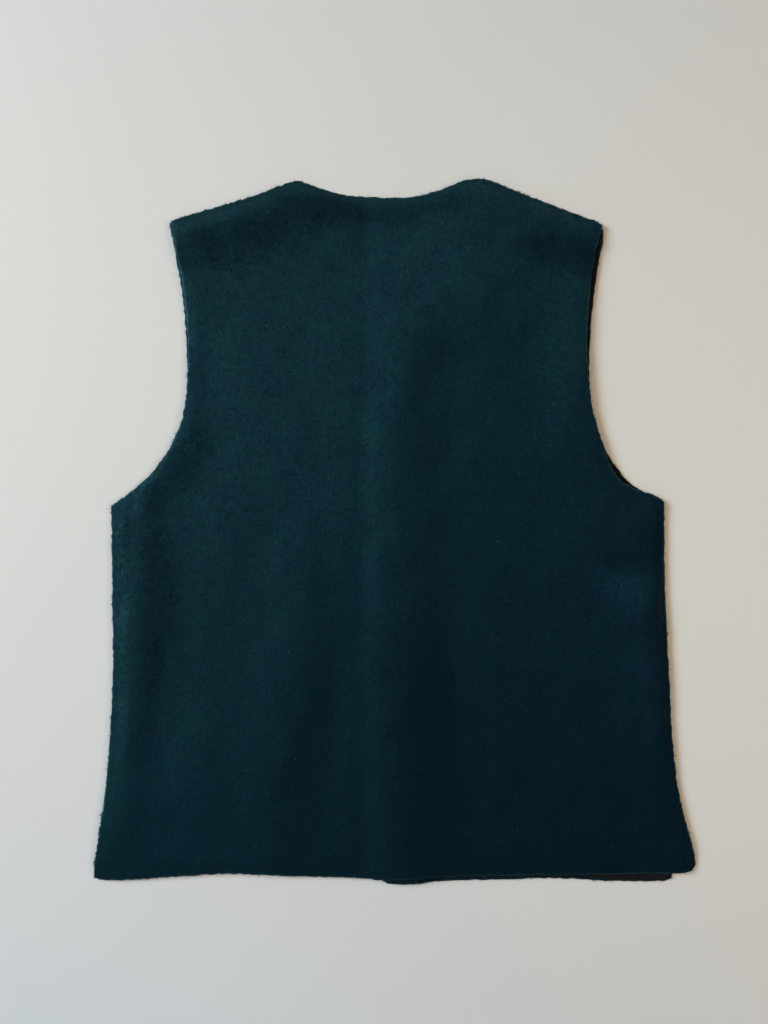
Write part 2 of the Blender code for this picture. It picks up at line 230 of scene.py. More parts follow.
# Small soft creases of the back, in millimetres. Each is a bowed line that rises and fades along its length.
# Columns: x start, y start, x end, y end, bow sideways, lift, width
BACK_CREASES = [
    (-236, -300, -206, -150, 8, 0.45, 26), (-178, -120, -150, 60, -10, 0.4, 34),
    (-110, 20, -88, 190, 7, 0.35, 30), (-168, 215, -70, 262, -9, 0.45, 24),
    (-40, 232, 28, 292, 6, 0.35, 22), (70, 214, 150, 250, -8, 0.4, 26),
    (88, -300, 104, -170, 6, 0.45, 30), (150, -250, 138, -90, -9, 0.4, 34),
    (96, -60, 122, 110, 8, 0.35, 32), (196, -300, 206, -196, -5, 0.4, 24),
    (150, 60, 172, 176, 5, 0.35, 22), (-62, -310, -52, -214, 4, 0.4, 20),
    (-200, -318, -150, -304, 3, 0.5, 14), (30, -320, 96, -310, -3, 0.4, 13),
    (166, -312, 232, -304, 3, 0.45, 14), (206, -150, 236, -96, 6, 0.35, 18),
    (-196, 110, -178, 196, -5, 0.35, 18), (-30, -30, -24, 96, 3, 0.3, 16),
]
# The same for the fronts, which lie under the back: faint, and only upwards
FRONT_CREASES = [
    (-210, -260, -170, -110, 7, 0.18, 26), (-120, -60, -96, 90, -8, 0.16, 28),
    (-150, 150, -110, 240, 6, 0.16, 24), (90, -280, 116, -130, -7, 0.18, 26),
    (150, -70, 170, 60, 8, 0.16, 28), (110, 150, 140, 250, -6, 0.16, 24),
]

# Painted shade and painted light on the back: below 0 it is darker, bluer and duller, above 0 it is lighter
# and greener.
# Columns: x, y, amount, width on the left hand, width on the right hand, as for the folds
PAINTED_LIGHT_AND_SHADE = {
    "below the left shoulder": [
        (-208, 252, -1, 20, 34), (-190, 272, -1.5, 24, 40), (-140, 284, -1.3, 26, 46),
        (-95, 296, -1.2, 22, 42), (-60, 302, -1, 14, 30), (-20, 302, -0.6, 10, 22),
        (30, 301, -0.2, 10, 18), (50, 302, 0, 10, 16),
    ],
    "left shoulder blade": [
        (-190, 176, 0, 24, 24), (-172, 205, -0.5, 34, 36), (-150, 238, -0.5, 34, 38),
        (-100, 262, -0.3, 30, 40), (-70, 270, 0, 30, 30),
    ],
    "below the right shoulder": [
        (96, 262, 0, 18, 20), (134, 272, -1.2, 24, 34), (172, 266, -1.3, 22, 34), (190, 256, -1.2, 20, 30),
    ],
    "left trough": [
        (-228, 34, -0.5, 22, 20), (-230, -10, -0.9, 30, 24), (-225, -50, -1, 42, 26),
        (-222, -84, -1.3, 26, 30), (-226, -130, -0.9, 16, 26), (-230, -165, -0.6, 11, 18),
        (-234, -200, 0, 10, 12),
    ],
    "left armhole, lower end": [
        (-184, 116, 0, 18, 24), (-186, 84, -0.7, 24, 36), (-206, 58, -0.9, 26, 38),
        (-226, 34, -0.5, 22, 30), (-240, 0, 0, 16, 16),
    ],
    "right of the ridge, low down": [
        (30, -20, 0, 26, 60), (34, -100, -0.8, 32, 90), (46, -170, -1.2, 40, 110),
        (60, -306, -1, 46, 150), (62, -340, -0.9, 46, 150),
    ],
    "upper right": [
        (130, 60, 0, 40, 40), (152, 110, 0.8, 50, 44), (158, 170, 1, 52, 40), (150, 222, 0.6, 44, 36),
        (130, 244, 0, 30, 24),
    ],
    "up to the right of the neck": [
        (8, 190, 0, 16, 16), (30, 220, 0.9, 26, 26), (62, 264, 0.9, 26, 26), (84, 298, 0, 18, 18),
    ],
    "low on the right": [
        (120, -230, 0, 30, 40), (150, -268, -0.7, 40, 50), (164, -306, -1, 50, 60),
        (170, -336, -0.8, 50, 60),
    ],
    "left of the ridge, low down": [
        (-58, 20, 0, 18, 16), (-60, -60, -0.5, 24, 20), (-66, -170, -0.7, 30, 24),
        (-78, -250, -0.5, 34, 26), (-86, -330, -0.3, 34, 26),
    ],
    "right side": [
        (180, -28, 0, 18, 18), (204, -48, 1.9, 26, 26), (228, -60, 0.9, 26, 24), (222, -100, 0.5, 40, 30),
        (222, -160, 0.8, 50, 34), (236, -226, 0, 50, 28),
    ],
    "under the end of the right armhole": [
        (212, 20, 0, 12, 14), (234, 2, -1, 24, 24), (252, -8, -0.9, 24, 24),
    ],
    "under the edge of the neck": [
        (-112, 318, -0.6, 8, 16), (-88, 312, -1.3, 16, 20), (-60, 310, -1.2, 16, 20),
        (-20, 308, -0.4, 12, 18), (20, 308, -0.3, 12, 16), (46, 313, -0.8, 12, 18), (70, 320, 0, 12, 16),
    ],
    "below the middle of the neck": [
        (-44, 240, 0, 20, 20), (-18, 264, 0.6, 22, 22), (2, 264, 0.6, 22, 22), (26, 246, 0, 20, 20),
    ],
    "left side, half way up": [(-196, 56, 0, 20, 20), (-172, 49, -0.4, 26, 26), (-150, 30, 0, 20, 20)],
    "left edge, half way up": [
        (-254, 30, 0, 10, 10), (-254, 8, -0.8, 12, 16), (-258, -36, -0.4, 10, 14), (-260, -84, -0.3, 8, 9),
        (-260, -150, 0, 6, 8),
    ],
    "flank of the ridge, upper half": [
        (-22, 90, 0, 12, 12), (-22, 120, -0.3, 13, 14), (-22, 190, -0.35, 13, 14), (-22, 222, 0, 12, 12),
    ],
    "flank of the ridge, lower half": [
        (-22, -50, 0, 12, 12), (-22, -90, -0.35, 14, 14), (-22, -140, 0, 12, 12),
    ],
    "rim of the left armhole": [
        (-244, 44, 0, 4, 4), (-217, 75, 1.2, 5, 5), (-200, 122, 1.6, 5, 5), (-198, 180, 1.8, 5, 5),
        (-203, 240, 1.6, 5, 5), (-214, 288, 0, 4, 4),
    ],
    "left side, low down": [
        (-200, -116, 0, 20, 24), (-196, -160, 0.8, 26, 36), (-214, -236, 1.3, 44, 50),
        (-212, -288, 0.5, 40, 44), (-200, -322, 0, 20, 20),
    ],
    "left edge, low down": [
        (-266, -176, 0, 8, 10), (-270, -216, 1.8, 12, 14), (-274, -256, 1.9, 12, 14),
        (-282, -306, 0.4, 8, 10),
    ],
}

# Cockling of worn felted cloth: many faint waves, as lengths in millimetres, and the air under the back,
# at full height from one reach inwards
COCKLE_WAVES = 22
COCKLE_SHORTEST = 26.0
COCKLE_LONGEST = 105.0
COCKLE_STEEPNESS = 0.0009
COCKLE_SEED = 5
AIR_BETWEEN = 0.45
AIR_REACH = 22.0
BACK_CELL = 3.0
CREASE_FULLNESS = 0.8

# Sag of the back into the open V between the fronts, in millimetres
SAG = 1.9
SAG_START = 4.0
SAG_EDGE = 26.0

# How the vent corners of the back droop to the floor, and how corners are rounded, in millimetres
DROOP = 2.0
DROOP_REACH = 23.0
CORNER_CUT = 1.8
CORNER_REACH = 6.0
HEM_CORNER_CUT = 1.2
HEM_CORNER_REACH = 8.0

# Grid cells across and along each piece, shares of the rows for each part of a side, crowding at the edges,
# rings round a rim, and how much of the rim's painted sheen reaches onto the faces
BACK_CELLS = (188, 216)
FRONT_CELLS = (84, 150)
LINING_CELLS = (70, 120)
BACK_SHARES = (0.11, 0.41, 0.48)
FRONT_SHARES = (0.56, 0.44)
EDGE_CROWDING = 0.03
RIM_RINGS = 7
RIM_ON_FACES = 0.3

# Loose fibres at the cut edges, in millimetres, and the share of them that are short thick tufts
BACK_FIBRE_SPACING = 0.36
FRONT_FIBRE_SPACING = 0.7
LONGEST_FIBRE = 2.6
FIBRE_SPREAD = (1.6, 3.2)
FIBRE_RADII = (0.06, 0.16)
TUFT_SHARE = 0.14
TUFT_LENGTHS = (0.7, 1.4)
TUFT_RADII = (0.32, 0.60)
ROOT_DEPTH = 0.12
# Their turn round the rim, rise, wandering, curl and droop
EDGE_TURN = 1.3
EDGE_RISE = 0.6
EDGE_WANDER = 0.45
EDGE_CURL = 0.5
EDGE_DROOP = 0.15

# Curly fibres on the back: sizes in millimetres, then turn, rise, curl and droop
NAP_FIBRES = 7000
NAP_LENGTHS = (0.7, 2.4)
NAP_RADII = (0.05, 0.09)
NAP_LIFT = 0.03
NAP_TURN = 0.35
NAP_RISE = (0.05, 0.5)
NAP_CURL = 0.7
NAP_DROOP = (-0.5, -0.1)

# Every fibre: how much it narrows, a direction to find its sides from, and its clearance of the floor
STRAND_TAPER = 0.67
ASIDE = (0.31, -0.52, 0.79)
FLOOR_CLEAR = 0.1
FLOOR_SOFT = 0.08
FIBRE_SEED = 17

# The felt's noises: scale per metre, detail, roughness, distortion, and the range over which the mark fades
NOISE_INPUTS = ("Scale", "Detail", "Roughness", "Distortion")
FELT = {
    "grain": (430, 3, 0.7, 0.3, 0.38, 0.66), "strokes": (135, 2, 0.6, 1, 0, 0.055),
    "breaks": (170, 1, 0.5, 0, 0.42, 0.54), "pits": (215, 2, 0.6, 0.6, 0.33, 0.43),
    "patches": (46, 4, 0.62, 0.6, 0.38, 0.62), "slow hue": (6.5, 2, 0.55, 0.4, 0.32, 0.62),
    "drift": (9, 2, 0.5, 0.3, 0.3, 0.7), "specks": (520, 1, 0.5, 0, 0.755, 0.8),
}
# Its hue, 0 green to 1 blue: by the place on the vest in metres, by the painted light and shade, and its
# swing
HUE_AT_MIDDLE = 0.15
# Bluer and darker towards the lower right: painted shade
HUE_BY_X = 0.6
HUE_BY_Y = -0.9
HUE_BY_PAINTED_LIGHT = 0.30
HUE_SWING = 0.42
# Its light and dark: the shares of grain and strokes, of pits and specks, of the painted sheen on the rim,
# and of the painted light and shade
GRAIN_LIGHT = 0.45
STROKE_LIGHT = 0.55
PIT_SHARE = 0.6
SPECK_SHARE = 0.6
RIM_SHEEN_ALL_OVER = 0.3
RIM_SHEEN_IN_STROKES = 0.5
LIGHTNESS_BY_PAINTED_LIGHT = 0.52
DRIFT_SWING = 0.08
# Its roughness and relief
ROUGHNESS_BY_LIGHT = (0.69, 0.56)
ROUGHNESS_BY_PATCH = (-0.03, 0.03)
ROUGHNESS_BY_PAINTED_LIGHT = (0.15, 0.0)
PIT_ROUGHNESS = 0.12
GRAIN_RELIEF = 0.8
STROKE_RELIEF = 0.28
PIT_RELIEF = 0.34

# Colours, linear
WOOL_LIGHT = (0.0009, 0.0098, 0.0184, 1)
WOOL_DARK = (0.0001, 0.0030, 0.0070, 1)
# The loose fibres are lighter than the cloth: a painted sheen for the light they catch
FIBRE_LIGHT = (0.0080, 0.0330, 0.0400, 1)
FIBRE_DARK = (0.0030, 0.0160, 0.0220, 1)
FELT_TINTS = {
    "Green patch": (0.40, 1.34, 0.84, 1), "Blue patch": (1.1, 0.74, 1.14, 1),
    # A painted sheen on the cut edges, lighter than the cloth
    "Painted rim sheen": (0.026, 0.058, 0.060, 1),
}
PIT_COLOUR = (0.0003, 0.002, 0.004, 1)
SPECK_COLOUR = (0.05, 0.08, 0.095, 1)
PLUM_DARK = (0.0036, 0.0034, 0.0046, 1)
PLUM_LIGHT = (0.0096, 0.0088, 0.0112, 1)

# The lining's painted light at the hem and painted shade upwards from it (places in metres, then brightness),
# and its roughness
LINING_SHADE_BETWEEN = (-0.32, -0.14)
LINING_SHADE_BRIGHTNESS = (1.8, 0.30)
LINING_ROUGHNESS = (0.42, 0.60)

# Sockets of a colour Mix node, and the layout of shader nodes
MIX_SHARE = 0
MIX_A = 6
MIX_B = 7
MIX_RESULT = 2
NODES_IN_A_ROW = 8
NODE_STEP = 220

# Lights: name, place, aim, size, power, colour, lights matt surfaces or not, shines in gloss or not
LIGHTS = [
    ("window_light", (-3.3, 1.1, 2.15), (0, 0, 0), 1.6, 132, (0.53, 0.79, 1.0), True, True),
    ("sky_light", (0.7, 2.25, 2.0), (0, 0, 0), 1.3, 19, (0.76, 0.86, 1.0), False, True),
    ("warm_light_right", (0.95, -0.05, 1.0), (0.95 / 3, 0, 0), 0.9, 6.6, (1.0, 0.78, 0.54), True, False),
    ("warm_light_left", (-0.90, 0.30, 1.0), (-0.90 / 3, 0, 0), 0.9, 6.8, (1.0, 0.78, 0.54), True, False),
    ("low_blue_light", (-0.32, -1.0, 0.55), (-0.22, -0.5, 0), 0.5, 1.2, (0.30, 0.62, 1.0), True, False),
]

# Camera straight above the middle of the picture, in metres
CAMERA_AT = (-0.0102, 0.0189, 0.734)


def smooth_step(t):
    """0 below 0, 1 above 1, and between them a soft S: 3 t squared minus 2 t cubed."""
    t = np.clip(t, 0.0, 1.0)
    return t * t * (3.0 - 2.0 * t)


def bell(distance, width):
    """A cosine bell: 1 on the line, 0 from one width away."""
    return 0.5 + 0.5 * np.cos(np.pi * np.clip(distance / width, 0.0, 1.0))


def smooth_curve(points, steps=24):
    """A Catmull-Rom curve through the points, as many short chords."""
    p = np.array(points, float)
    p = np.vstack([2 * p[0] - p[1], p, 2 * p[-1] - p[-2]])
    t = np.linspace(0.0, 1.0, steps, endpoint=False)[:, None]
    spans = []
    for a, b, c, d in zip(p[:-3], p[1:-2], p[2:-1], p[3:]):
        bend = 2 * b + (c - a) * t + (2 * a - 5 * b + 4 * c - d) * t**2 + (3 * b - a - 3 * c + d) * t**3
        spans.append(0.5 * bend)
    return np.vstack(spans + [p[-2:-1]])


def along(curve, places):
    """Points of a curve at shares of its length from 0 to 1."""
    length = np.concatenate([[0.0], np.cumsum(np.linalg.norm(np.diff(curve, axis=0), axis=1))])
    at = np.asarray(places) * length[-1]
    return np.stack([np.interp(at, length, curve[:, k]) for k in (0, 1)], axis=1)


def crowded(cells):
    """Places from 0 to 1, a little closer together near both ends: s minus a share of sin 2 pi s."""
    s = np.linspace(0.0, 1.0, cells + 1)
    return s - EDGE_CROWDING * np.sin(2 * np.pi * s)


def side(parts, shares, places):
    """One side of a panel from several curves, each with its share of the rows."""
    ends = np.concatenate([[0.0], np.cumsum(shares)])
    points = np.zeros((len(places), 2))
    for part, low, high in zip(parts, ends[:-1], ends[1:]):
        here = (places >= low - 1e-9) & (places <= high + 1e-9)
        points[here] = along(smooth_curve(part), (places[here] - low) / (high - low))
    return points


def rows_meeting(places, shares):
    """Moves the nearest place onto each joint between two parts of a side, so that corners stay sharp."""
    places = places.copy()
    for joint in np.cumsum(shares)[:-1]:
        places[np.argmin(np.abs(places - joint))] = joint
    return places


def round_corner(points, i, j, cut, reach):
    """Draws a corner of a panel towards its middle, by the cut at the corner x a bell over the reach."""
    inwards = points.mean(axis=(0, 1)) - points[i, j]
    distance = np.linalg.norm(points - points[i, j], axis=2)
    return points + cut * bell(distance, reach)[..., None] * inwards / np.linalg.norm(inwards)


def panel(bottom, top, left, right, shares, cells):
    """A Coons patch with rounded corners: points between four edges, shaped (columns, rows, 2).

    Point = blend of the left and right edges + blend of the bottom and top edges - blend of the corners.
    """
    u = crowded(cells[0])
    v = rows_meeting(crowded(cells[1]), shares)
    low = along(smooth_curve(bottom), u)[:, None]
    high = side([top], [1.0], u)[:, None]
    west = side(left, shares, v)[None]
    east = side(right, shares, v)[None]
    u = u[:, None, None]
    v = v[None, :, None]
    west_corners = (1 - v) * west[:, :1] + v * west[:, -1:]
    east_corners = (1 - v) * east[:, :1] + v * east[:, -1:]
    corners = (1 - u) * west_corners + u * east_corners
    points = (1 - u) * west + u * east + (1 - v) * low + v * high - corners
    for i, j in ((0, 0), (0, -1), (-1, 0), (-1, -1)):
        points = round_corner(points, i, j, CORNER_CUT, CORNER_REACH)
    return points


def line_lift(x, y, rows):
    """Lift of one fold: a bell across its line, with the lift and widths of the nearest place on the line."""
    table = np.array(rows, float)
    nearest = np.full(x.shape, np.inf)
    lift = np.zeros(x.shape)
    for a, b in zip(table[:-1], table[1:]):
        dx, dy = b[0] - a[0], b[1] - a[1]
        t = np.clip(((x - a[0]) * dx + (y - a[1]) * dy) / (dx * dx + dy * dy), 0.0, 1.0)
        ex, ey = x - a[0] - t * dx, y - a[1] - t * dy
        distance = np.hypot(ex, ey)
        on_left = dx * ey - dy * ex > 0
        width = np.where(on_left, a[3] + t * (b[3] - a[3]), a[4] + t * (b[4] - a[4]))
        closer = distance < nearest
        nearest = np.where(closer, distance, nearest)
        lift = np.where(closer, (a[2] + t * (b[2] - a[2])) * bell(distance, width), lift)
    return lift


def crease_lift(x, y, rows):
    """Lift of small creases: lift x a power of sin(pi t) along each bowed line, times a bell across it."""
    lift = np.zeros(x.shape)
    for x0, y0, x1, y1, bow, height, width in rows:
        dx, dy = x1 - x0, y1 - y0
        length = np.hypot(dx, dy)
        t = ((x - x0) * dx + (y - y0) * dy) / length**2
        inside = np.clip(t, 0.0, 1.0)
        across = ((x - x0) * dy - (y - y0) * dx) / length - bow * np.sin(np.pi * inside)
        ends = np.clip(np.abs(t - 0.5) - 0.5, 0.0, None) * length
        lift = lift + height * np.sin(np.pi * inside) ** CREASE_FULLNESS * bell(np.hypot(across, ends), width)
    return lift


def cockle(x, y, rng):
    """Faint unevenness: a sum of plane waves in seeded directions, each as high as its length x steepness."""
    height = np.zeros(x.shape)
    for length in np.geomspace(COCKLE_SHORTEST, COCKLE_LONGEST, COCKLE_WAVES):
        turn, shift = rng.uniform(0, 2 * np.pi, 2)
        height = height + length * COCKLE_STEEPNESS * np.sin(
            2 * np.pi / length * (x * np.cos(turn) + y * np.sin(turn)) + shift)
    return height


def inland(shape, reach, cell):
    """How far inside a grid's border each point is: 0 on it, 1 from one reach inwards."""
    from_sides = [np.minimum(np.arange(n), np.arange(n)[::-1]) * cell / reach for n in shape]
    return smooth_step(from_sides[0])[:, None] * smooth_step(from_sides[1])[None, :]


def inside_line(x, y, a, b):
    """Distance to the right hand of the line from a to b."""
    dx, dy = b[0] - a[0], b[1] - a[1]
    return ((x - a[0]) * dy - (y - a[1]) * dx) / np.hypot(dx, dy)


def right_front_height(x, y):
    """Underside of the right front: on the floor, and stepped over the edge of the left front."""
    near_overlap = 1 - smooth_step((x - LEFT_FRONT_EDGE - STEP_START) / STEP_RUN)
    below_neck = 1 - smooth_step((y - OVERLAP_TOP - STEP_ABOVE_OVERLAP) / STEP_FADE)
    return STEP_OVER * near_overlap * below_neck


def lining_height(x, y):
    """Underside of the lining: on the right front, bridging the step in it."""
    from_bridge = np.abs(x - LEFT_FRONT_EDGE - BRIDGE_PLACE)
    return right_front_height(x, y) + WOOL + GAP + LINING_BRIDGE * bell(from_bridge, BRIDGE_REACH)


def back_height(x, y, to_right_edge):
    """Underside of the back: laid over the fronts and the lining, with its folds and small creases.

    It is never lower than what it lies on, apart from its sag into the open V between the fronts and the
    droop of its hem corners.
    """
    beside_edge = 1 - smooth_step((to_right_edge - SEAM_START) / SEAM_RUN)
    at_seam = beside_edge * (1 - smooth_step((y - SEAM_TOP) / SEAM_FADE))
    over_lining = smooth_step((x - ONTO_LINING) / ONTO_LINING_RUN) * (1 - at_seam)
    support = BACK_ON_LEFT + LINING_RISE * over_lining
    folds = list(FOLDS.values()) + list(SHARPER_FOLDS.values())
    z = support + sum(line_lift(x, y, rows) for rows in folds) + crease_lift(x, y, BACK_CREASES)
    unevenness = cockle(x, y, np.random.default_rng(COCKLE_SEED))
    z = z + inland(x.shape, AIR_REACH, BACK_CELL) * (AIR_BETWEEN + unevenness)
    z = np.maximum(z, support)
    from_left = inside_line(x, y, LEFT_FRONT_NECK[0], LEFT_FRONT_NECK[-1])
    from_right = inside_line(x, y, RIGHT_FRONT_NECK[0], RIGHT_FRONT_NECK[-1])
    opening = np.minimum(from_left, -from_right)
    z = z - SAG * smooth_step((opening - SAG_START) / SAG_EDGE)
    for corner in (BACK_HEM[0], BACK_HEM[-1]):
        reach = np.hypot(x - corner[0], y - corner[1])
        z = z - DROOP * bell(reach, DROOP_REACH)
    return z


def unit(v):
    """Vectors scaled to length 1 along the last axis."""
    return v / np.maximum(np.linalg.norm(v, axis=-1, keepdims=True), 1e-12)


def grid_normals(points):
    """Unit normals of a grid of points: the cross product of its two slopes."""
    return unit(np.cross(np.gradient(points, axis=0), np.gradient(points, axis=1)))


def border(columns, rows):
    """Indices (i, j) of the grid's border, anticlockwise seen from above, starting at its first corner."""
    across, up = np.arange(columns), np.arange(1, rows - 1)
    i = np.concatenate([across, np.full(rows - 2, columns - 1), across[::-1], np.zeros(rows - 2, int)])
    j = np.concatenate([np.zeros(columns, int), up, np.full(columns, rows - 1), up[::-1]])
    return i, j


def add_mesh(name, points, faces, material):
    """A smooth mesh object at the origin."""
    mesh = bpy.data.meshes.new(name)
    mesh.from_pydata(points.tolist(), [], faces.tolist())
    mesh.polygons.foreach_set("use_smooth", np.ones(len(mesh.polygons), bool))
    mesh.update()
    mesh.materials.append(material)
    piece = bpy.data.objects.new(name, mesh)
    bpy.context.scene.collection.objects.link(piece)
    return piece


def cloth_wall(name, points, under, thickness, material):
    """A closed wall of cloth with half-round edges.

    The middle sheet stands half the thickness above the underside. Both faces are the middle sheet moved by
    half the thickness r along its normal. The border is first drawn in by r, give or take the unevenness of
    the cut, and the rim is then a half circle swept round it: border + r cos(a) outwards + r sin(a) along
    the normal, for a from 90 to -90 degrees. The attribute "rim" is 1 there, less at its joins, else 0.
    Returns the piece with its rim line: places, outward directions and normals.
    """
    r = thickness / 2
    columns, rows = under.shape
    middle = np.dstack([points, under + r])
    i, j = border(columns, rows)
    ring = middle[i, j]
    tangent = unit(np.roll(ring, -1, axis=0) - np.roll(ring, 1, axis=0))
    outward = unit(np.stack([tangent[:, 1], -tangent[:, 0], np.zeros(len(ring))], axis=1))
    normals = grid_normals(middle)
    uneven = np.random.default_rng(len(ring)).normal(0, CUT_UNEVENNESS * thickness / WOOL, (len(ring), 1))
    middle[i, j] = ring - (r + np.clip(uneven, -CUT_LARGEST, CUT_LARGEST)) * outward
    ring = middle[i, j]
    ring_normal = normals[i, j]
    outward = unit(outward - ring_normal * np.sum(outward * ring_normal, axis=1, keepdims=True))

    count = columns * rows
    index = np.arange(count).reshape(columns, rows)
    cell_corners = [index[:-1, :-1], index[1:, :-1], index[1:, 1:], index[:-1, 1:]]
    top_faces = np.stack(cell_corners, axis=-1).reshape(-1, 4)
    bottom_faces = top_faces[:, ::-1] + count
    angles = np.linspace(np.pi / 2, -np.pi / 2, RIM_RINGS + 2)[1:-1]
    rings = [ring + r * (np.cos(a) * outward + np.sin(a) * ring_normal) for a in angles]
    rim = [index[i, j]]
    rim += [2 * count + k * len(ring) + np.arange(len(ring)) for k in range(RIM_RINGS)]
    rim += [index[i, j] + count]
    rim_faces = [
        np.stack([upper, lower, np.roll(lower, -1), np.roll(upper, -1)], axis=1)
        for upper, lower in zip(rim[:-1], rim[1:])
    ]
    co = np.vstack([(middle + r * normals).reshape(-1, 3), (middle - r * normals).reshape(-1, 3)] + rings)
    piece = add_mesh(name, co * MM, np.vstack([top_faces, bottom_faces] + rim_faces), material)

    # Where the material paints a lighter sheen: full on the rim, a share on the faces' border
    edge = np.zeros(len(co))
    edge[index[i, j]] = RIM_ON_FACES
    edge[index[i, j] + count] = RIM_ON_FACES
    edge[2 * count:] = 1.0
    piece.data.attributes.new("rim", "FLOAT", "POINT").data.foreach_set("value", edge)
    return piece, (ring, outward, ring_normal)


def paint_light_and_shade(piece, centre):
    """Stores the painted light and shade of the back at each point, the sum of the lines of its table, as an
    attribute.
    """
    co = np.zeros(3 * len(piece.data.vertices))
    piece.data.vertices.foreach_get("co", co)
    x, y = co.reshape(-1, 3)[:, :2].T / MM + centre[:, None]
    painted_light = sum(line_lift(x, y, rows) for rows in PAINTED_LIGHT_AND_SHADE.values())
    piece.data.attributes.new("painted_light", "FLOAT", "POINT").data.foreach_set("value", painted_light)


def strands(name, roots, heading, length, radius, bend, material):
    """Many short tapering fibres in one mesh.

    Fibre point = root + heading x length x t + bend x length x t squared. Round each point stand three
    places at one radius, which narrows to a third at the tip. Both ends are closed, and what would sink
    into the floor is held just above it.
    """
    segments, sides = 3, 3
    t = np.linspace(0.0, 1.0, segments + 1)[None, :, None]
    reach = length[:, None, None]
    spine = roots[:, None] + heading[:, None] * reach * t + bend[:, None] * reach * t**2
    across = unit(np.cross(heading, ASIDE))
    lift = np.cross(heading, across)
    turn = np.arange(sides) * 2 * np.pi / sides
    spread = np.cos(turn)[None, :, None] * across[:, None] + np.sin(turn)[None, :, None] * lift[:, None]
    size = radius[:, None, None] * (1 - STRAND_TAPER * t)
    co = spine[:, :, None] + size[..., None] * spread[:, None]
    z = co[..., 2]
    held_up = FLOOR_CLEAR + FLOOR_SOFT * np.exp(np.minimum(z, FLOOR_CLEAR) - FLOOR_CLEAR)
    co[..., 2] = np.where(z < FLOOR_CLEAR, held_up, z)
    base = (np.arange(len(roots)) * sides * (segments + 1))[:, None]
    side_faces = []
    for s in range(segments):
        for k in range(sides):
            a, b = sides * s + k, sides * s + (k + 1) % sides
            side_faces += [(a, b, b + sides), (a, b + sides, a + sides)]
    tip = sides * segments
    pattern = np.array(side_faces + [(0, 2, 1), (tip, tip + 1, tip + 2)])
    faces = (base[:, :, None] + pattern[None]).reshape(-1, 3)
    return add_mesh(name, co.reshape(-1, 3) * MM, faces, material)


def edge_fibres(name, rim, spacing, material, rng):
    """Loose fibres and thicker short tufts standing out of a rim, each a little off the outward direction.

    A root is a random place along the rim line, moved onto the half-round edge at a random angle.
    """
    ring, outward, normal = rim
    gap = np.linalg.norm(np.roll(ring, -1, axis=0) - ring, axis=1)
    count = int(gap.sum() / spacing)
    distance = np.concatenate([[0.0], np.cumsum(gap)])
    at = rng.uniform(0, distance[-1], count)
    k = np.searchsorted(distance, at) - 1
    share = ((at - distance[k]) / gap[k])[:, None]
    after = (k + 1) % len(ring)
    angle = rng.uniform(-EDGE_TURN, EDGE_TURN, count)[:, None]
    out = unit(outward[k] * (1 - share) + outward[after] * share)
    up = normal[k]
    root = ring[k] * (1 - share) + ring[after] * share
    root = root + (WOOL / 2 - ROOT_DEPTH) * (np.cos(angle) * out + np.sin(angle) * up)
    wander = rng.normal(0, EDGE_WANDER, (count, 3))
    heading = unit(np.cos(angle) * out + np.sin(angle) * up * EDGE_RISE + wander)
    tuft = rng.uniform(size=count) < TUFT_SHARE
    length = np.where(tuft, rng.uniform(*TUFT_LENGTHS, count), LONGEST_FIBRE * rng.beta(*FIBRE_SPREAD, count))
    radius = np.where(tuft, rng.uniform(*TUFT_RADII, count), rng.uniform(*FIBRE_RADII, count))
    bend = rng.normal(0, EDGE_CURL, (count, 3)) - EDGE_DROOP * up
    return strands(name, root, heading, length, radius, bend, material)


def lying_fibres(name, points, heights, count, material, rng):
    """Short curly fibres on the top face, mostly along or across the cloth.

    A root is a random place in a random cell of the grid: the blend of the cell's four corners.
    """
    top = np.dstack([points, heights])
    columns, rows = heights.shape
    i = rng.integers(1, columns - 2, count)
    j = rng.integers(1, rows - 2, count)
    s, t = rng.uniform(0, 1, (2, count, 1))
    near = top[i, j] * (1 - s) + top[i + 1, j] * s
    far = top[i, j + 1] * (1 - s) + top[i + 1, j + 1] * s
    root = near * (1 - t) + far * t + NAP_LIFT * grid_normals(top)[i, j]
    turn = np.where(rng.uniform(size=count) < 0.5, 0.0, np.pi / 2) + rng.normal(0, NAP_TURN, count)
    heading = np.stack([np.cos(turn), np.sin(turn), rng.uniform(*NAP_RISE, count)], axis=1)
    curl = [rng.normal(0, NAP_CURL, count), rng.normal(0, NAP_CURL, count), rng.uniform(*NAP_DROOP, count)]
    length = rng.uniform(*NAP_LENGTHS, count)
    radius = rng.uniform(*NAP_RADII, count)
    return strands(name, root, unit(heading), length, radius, np.stack(curl, axis=1), material)


def node(tree, kind, **values):
    """A shader node with its settings and its inputs' values. New nodes are laid out in rows."""
    new = tree.nodes.new(kind)
    row, column = divmod(len(tree.nodes), NODES_IN_A_ROW)
    new.location = ((column - NODES_IN_A_ROW) * NODE_STEP, -row * NODE_STEP)
    for key, value in values.items():
        if key in new.inputs:
            new.inputs[key].default_value = value
        else:
            setattr(new, key, value)
    return new


def wire(tree, *joins):
    """Links sockets. Each join is a node, its output, another node and its input."""
    for source, output, target, socket in joins:
        tree.links.new(source.outputs[output], target.inputs[socket])


def map_range(tree, between, to, kind="LINEAR"):
    """A node that stretches a value from one range to another, evenly or in a soft S."""
    made = node(tree, "ShaderNodeMapRange", interpolation_type=kind)
    for socket, number in zip(made.inputs[1:5], between + to):
        socket.default_value = number
    return made


